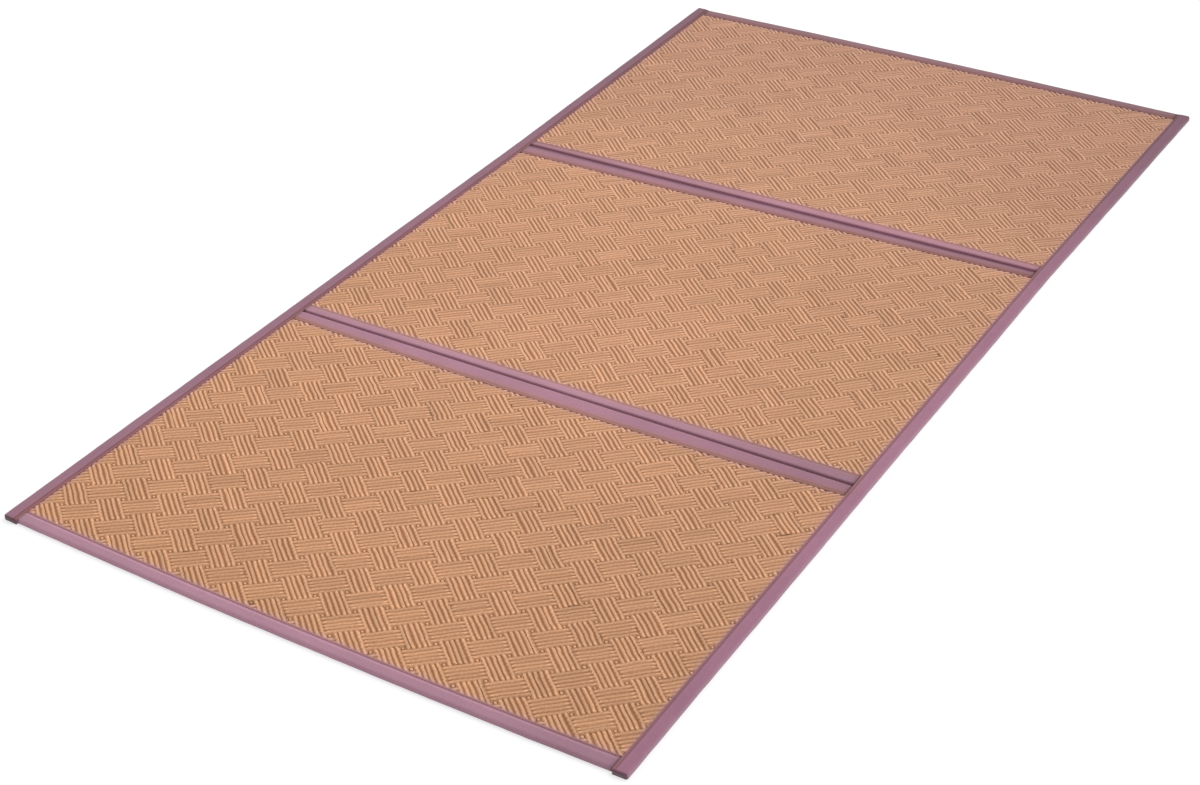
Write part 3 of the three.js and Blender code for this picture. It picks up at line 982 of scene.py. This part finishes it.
def cloth(name, colour, threads, strength, uv_name):
    """Cloth or thread, so many threads to the metre, with painted light and shade laid on piece by piece
    where it has places of its own.
    """
    made, n, shader = material(name)
    spot = n.add("ShaderNodeTexCoord").outputs["Object"]
    place = spot
    if uv_name:
        place = n.add("ShaderNodeUVMap", uv_map=uv_name).outputs[0]
        # the colour times the painted light and shade kept on the strip's points
        painted_shading = n.add("ShaderNodeAttribute", attribute_name="painted_shading").outputs["Color"]
        colour = n.mix(1.0, colour, painted_shading, "MULTIPLY")
    weave = place_group(n, CLOTH_WEAVE, Place=place, Colour=colour, Threads=threads)
    toned = place_group(n, SLOW_TONE, Place=spot, Colour=weave["Colour"], Amount=0.06)
    n.set(shader.inputs["Base Color"], toned["Colour"])
    n.set(shader.inputs["Roughness"], weave["Roughness"])
    shader.inputs["Specular IOR Level"].default_value = 0.2
    shader.inputs["Sheen Weight"].default_value = 0.15
    bumped(n, shader, weave["Height"], strength, RELIEF)
    return made


# Straw colours at the near and the far end: the dark groove is partly the darker straw between the ribs and
# partly painted shade, and the ground's darker colours are partly painted shade in the hollows under the ribs
CREST = (linear(0.87, 0.66, 0.5), linear(0.84, 0.647, 0.538))
GROOVE = (linear(0.635, 0.422, 0.275), linear(0.62, 0.425, 0.315))
HOLLOW = (linear(0.52, 0.35, 0.23), linear(0.52, 0.35, 0.24))
HOLLOW_DEEP = (linear(0.44, 0.28, 0.18), linear(0.44, 0.28, 0.19))
STRAW_TOP = straw("straw_ribs", CREST, GROOVE, "straw")
STRAW_GROUND = straw("straw_ground", HOLLOW, HOLLOW_DEEP, repeat=(150, 150, 150))
STRAW_UNDER = straw("straw_underside", CREST, GROOVE, repeat=(230, 0, 0), shift=(0, RIB_LENGTH / 2, 0))
CLOTH = cloth("mauve_cloth", linear(0.685, 0.515, 0.585), 1700.0, 0.45, "cloth")
THREAD = cloth("sewing_thread", linear(0.57, 0.40, 0.45), 2600.0, 0.5, None)


def finish_piece(piece, look, node=None):
    piece.data.materials.append(look)
    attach(piece, "root")
    if node:
        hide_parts(node)
    return piece


# The pieces of the mat
near_end = NEAR_SETBACK - END_AT
far_end = END_AT - FAR_SETBACK
near_fold = FOLD_AT - FOLD_GAP / 2
far_fold = FOLD_AT + FOLD_GAP / 2
PANELS = [
    ("panel_near", near_end, -far_fold, "binding_near", "fold_1_near"),
    ("panel_middle", -near_fold, near_fold, "fold_1_far", "fold_2_near"),
    ("panel_far", far_fold, far_end, "fold_2_far", "binding_far"),
]


def bind(name, start, end, width_at, height, closed_ends=None):
    piece, place = folded_strip(name, start, end, width_at, height, closed_ends)
    finish_piece(piece, CLOTH, name)
    sewing = finish_piece(stitches(name, place), THREAD)
    flat = (2 * float(width_at(0.0)) + height) * MM


def cross_width(name):
    return lambda x: across_mat(*CROSS_WIDTH[name], x)


def even_width(width):
    return lambda x: np.full_like(x, width)


for name, low, high, low_edge, high_edge in PANELS:
    woven = Woven(low, high, low_edge, high_edge)
    ground = finish_piece(panel_ground(name, woven), STRAW_GROUND, name)
    ground.data.materials.append(STRAW_UNDER)
    ribs = finish_piece(woven_top(name, woven), STRAW_TOP)
    bind(low_edge, (woven.left, low), (woven.right, low), cross_width(low_edge), CROSS_HEIGHT)
    bind(high_edge, (woven.right, high), (woven.left, high), cross_width(high_edge), CROSS_HEIGHT)
half = MAT_WIDTH / 2
near_closed = NEAR_SETBACK + EDGE_WALL
far_closed = FAR_SETBACK + EDGE_WALL
bind("binding_left", (-half, END_AT), (-half, -END_AT), even_width(LEFT_WIDTH), SIDE_HEIGHT,
     (far_closed, near_closed))
bind("binding_right", (half, -END_AT), (half, END_AT), even_width(RIGHT_WIDTH), SIDE_HEIGHT,
     (near_closed, far_closed))

# The stage
camera = bpy.data.objects.new("camera", bpy.data.cameras.new("camera"))
camera.data.lens = CAMERA_LENS
camera.data.sensor_width = CAMERA_SENSOR
camera.location = CAMERA_AT
camera.rotation_euler = tuple(math.radians(a) for a in CAMERA_TURN)
bpy.context.collection.objects.link(camera)
bpy.context.scene.camera = camera

floor_corners = [(x * FLOOR_HALF, y * FLOOR_HALF, FLOOR_AT) for x, y in ((-1, -1), (1, -1), (1, 1), (-1, 1))]
floor = mesh_piece("floor", floor_corners, [(0, 1, 2, 3)])
floor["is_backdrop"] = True
floor_look, _, floor_shader = material("pale_floor")
floor_shader.inputs["Base Color"].default_value = (0.5, 0.5, 0.5, 1)
floor_shader.inputs["Emission Color"].default_value = (1, 1, 1, 1)
floor_shader.inputs["Emission Strength"].default_value = 0.52
floor_shader.inputs["Roughness"].default_value = 0.9
floor.data.materials.append(floor_look)

world = bpy.data.worlds.new("soft_room")
world.use_nodes = True
world.node_tree.nodes["Background"].inputs["Color"].default_value = (1, 1, 1, 1)
world.node_tree.nodes["Background"].inputs["Strength"].default_value = 0.78
bpy.context.scene.world = world

key = bpy.data.objects.new("key_light", bpy.data.lights.new("key_light", "AREA"))
key.data.shape = "DISK"
key.data.size = 7.0
key.data.energy = 400.0
key.location = KEY_AT
key.rotation_euler = (-key.location).to_track_quat("-Z", "Y").to_euler()
bpy.context.collection.objects.link(key)
bpy.context.scene.view_settings.view_transform = "Standard"

low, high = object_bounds()
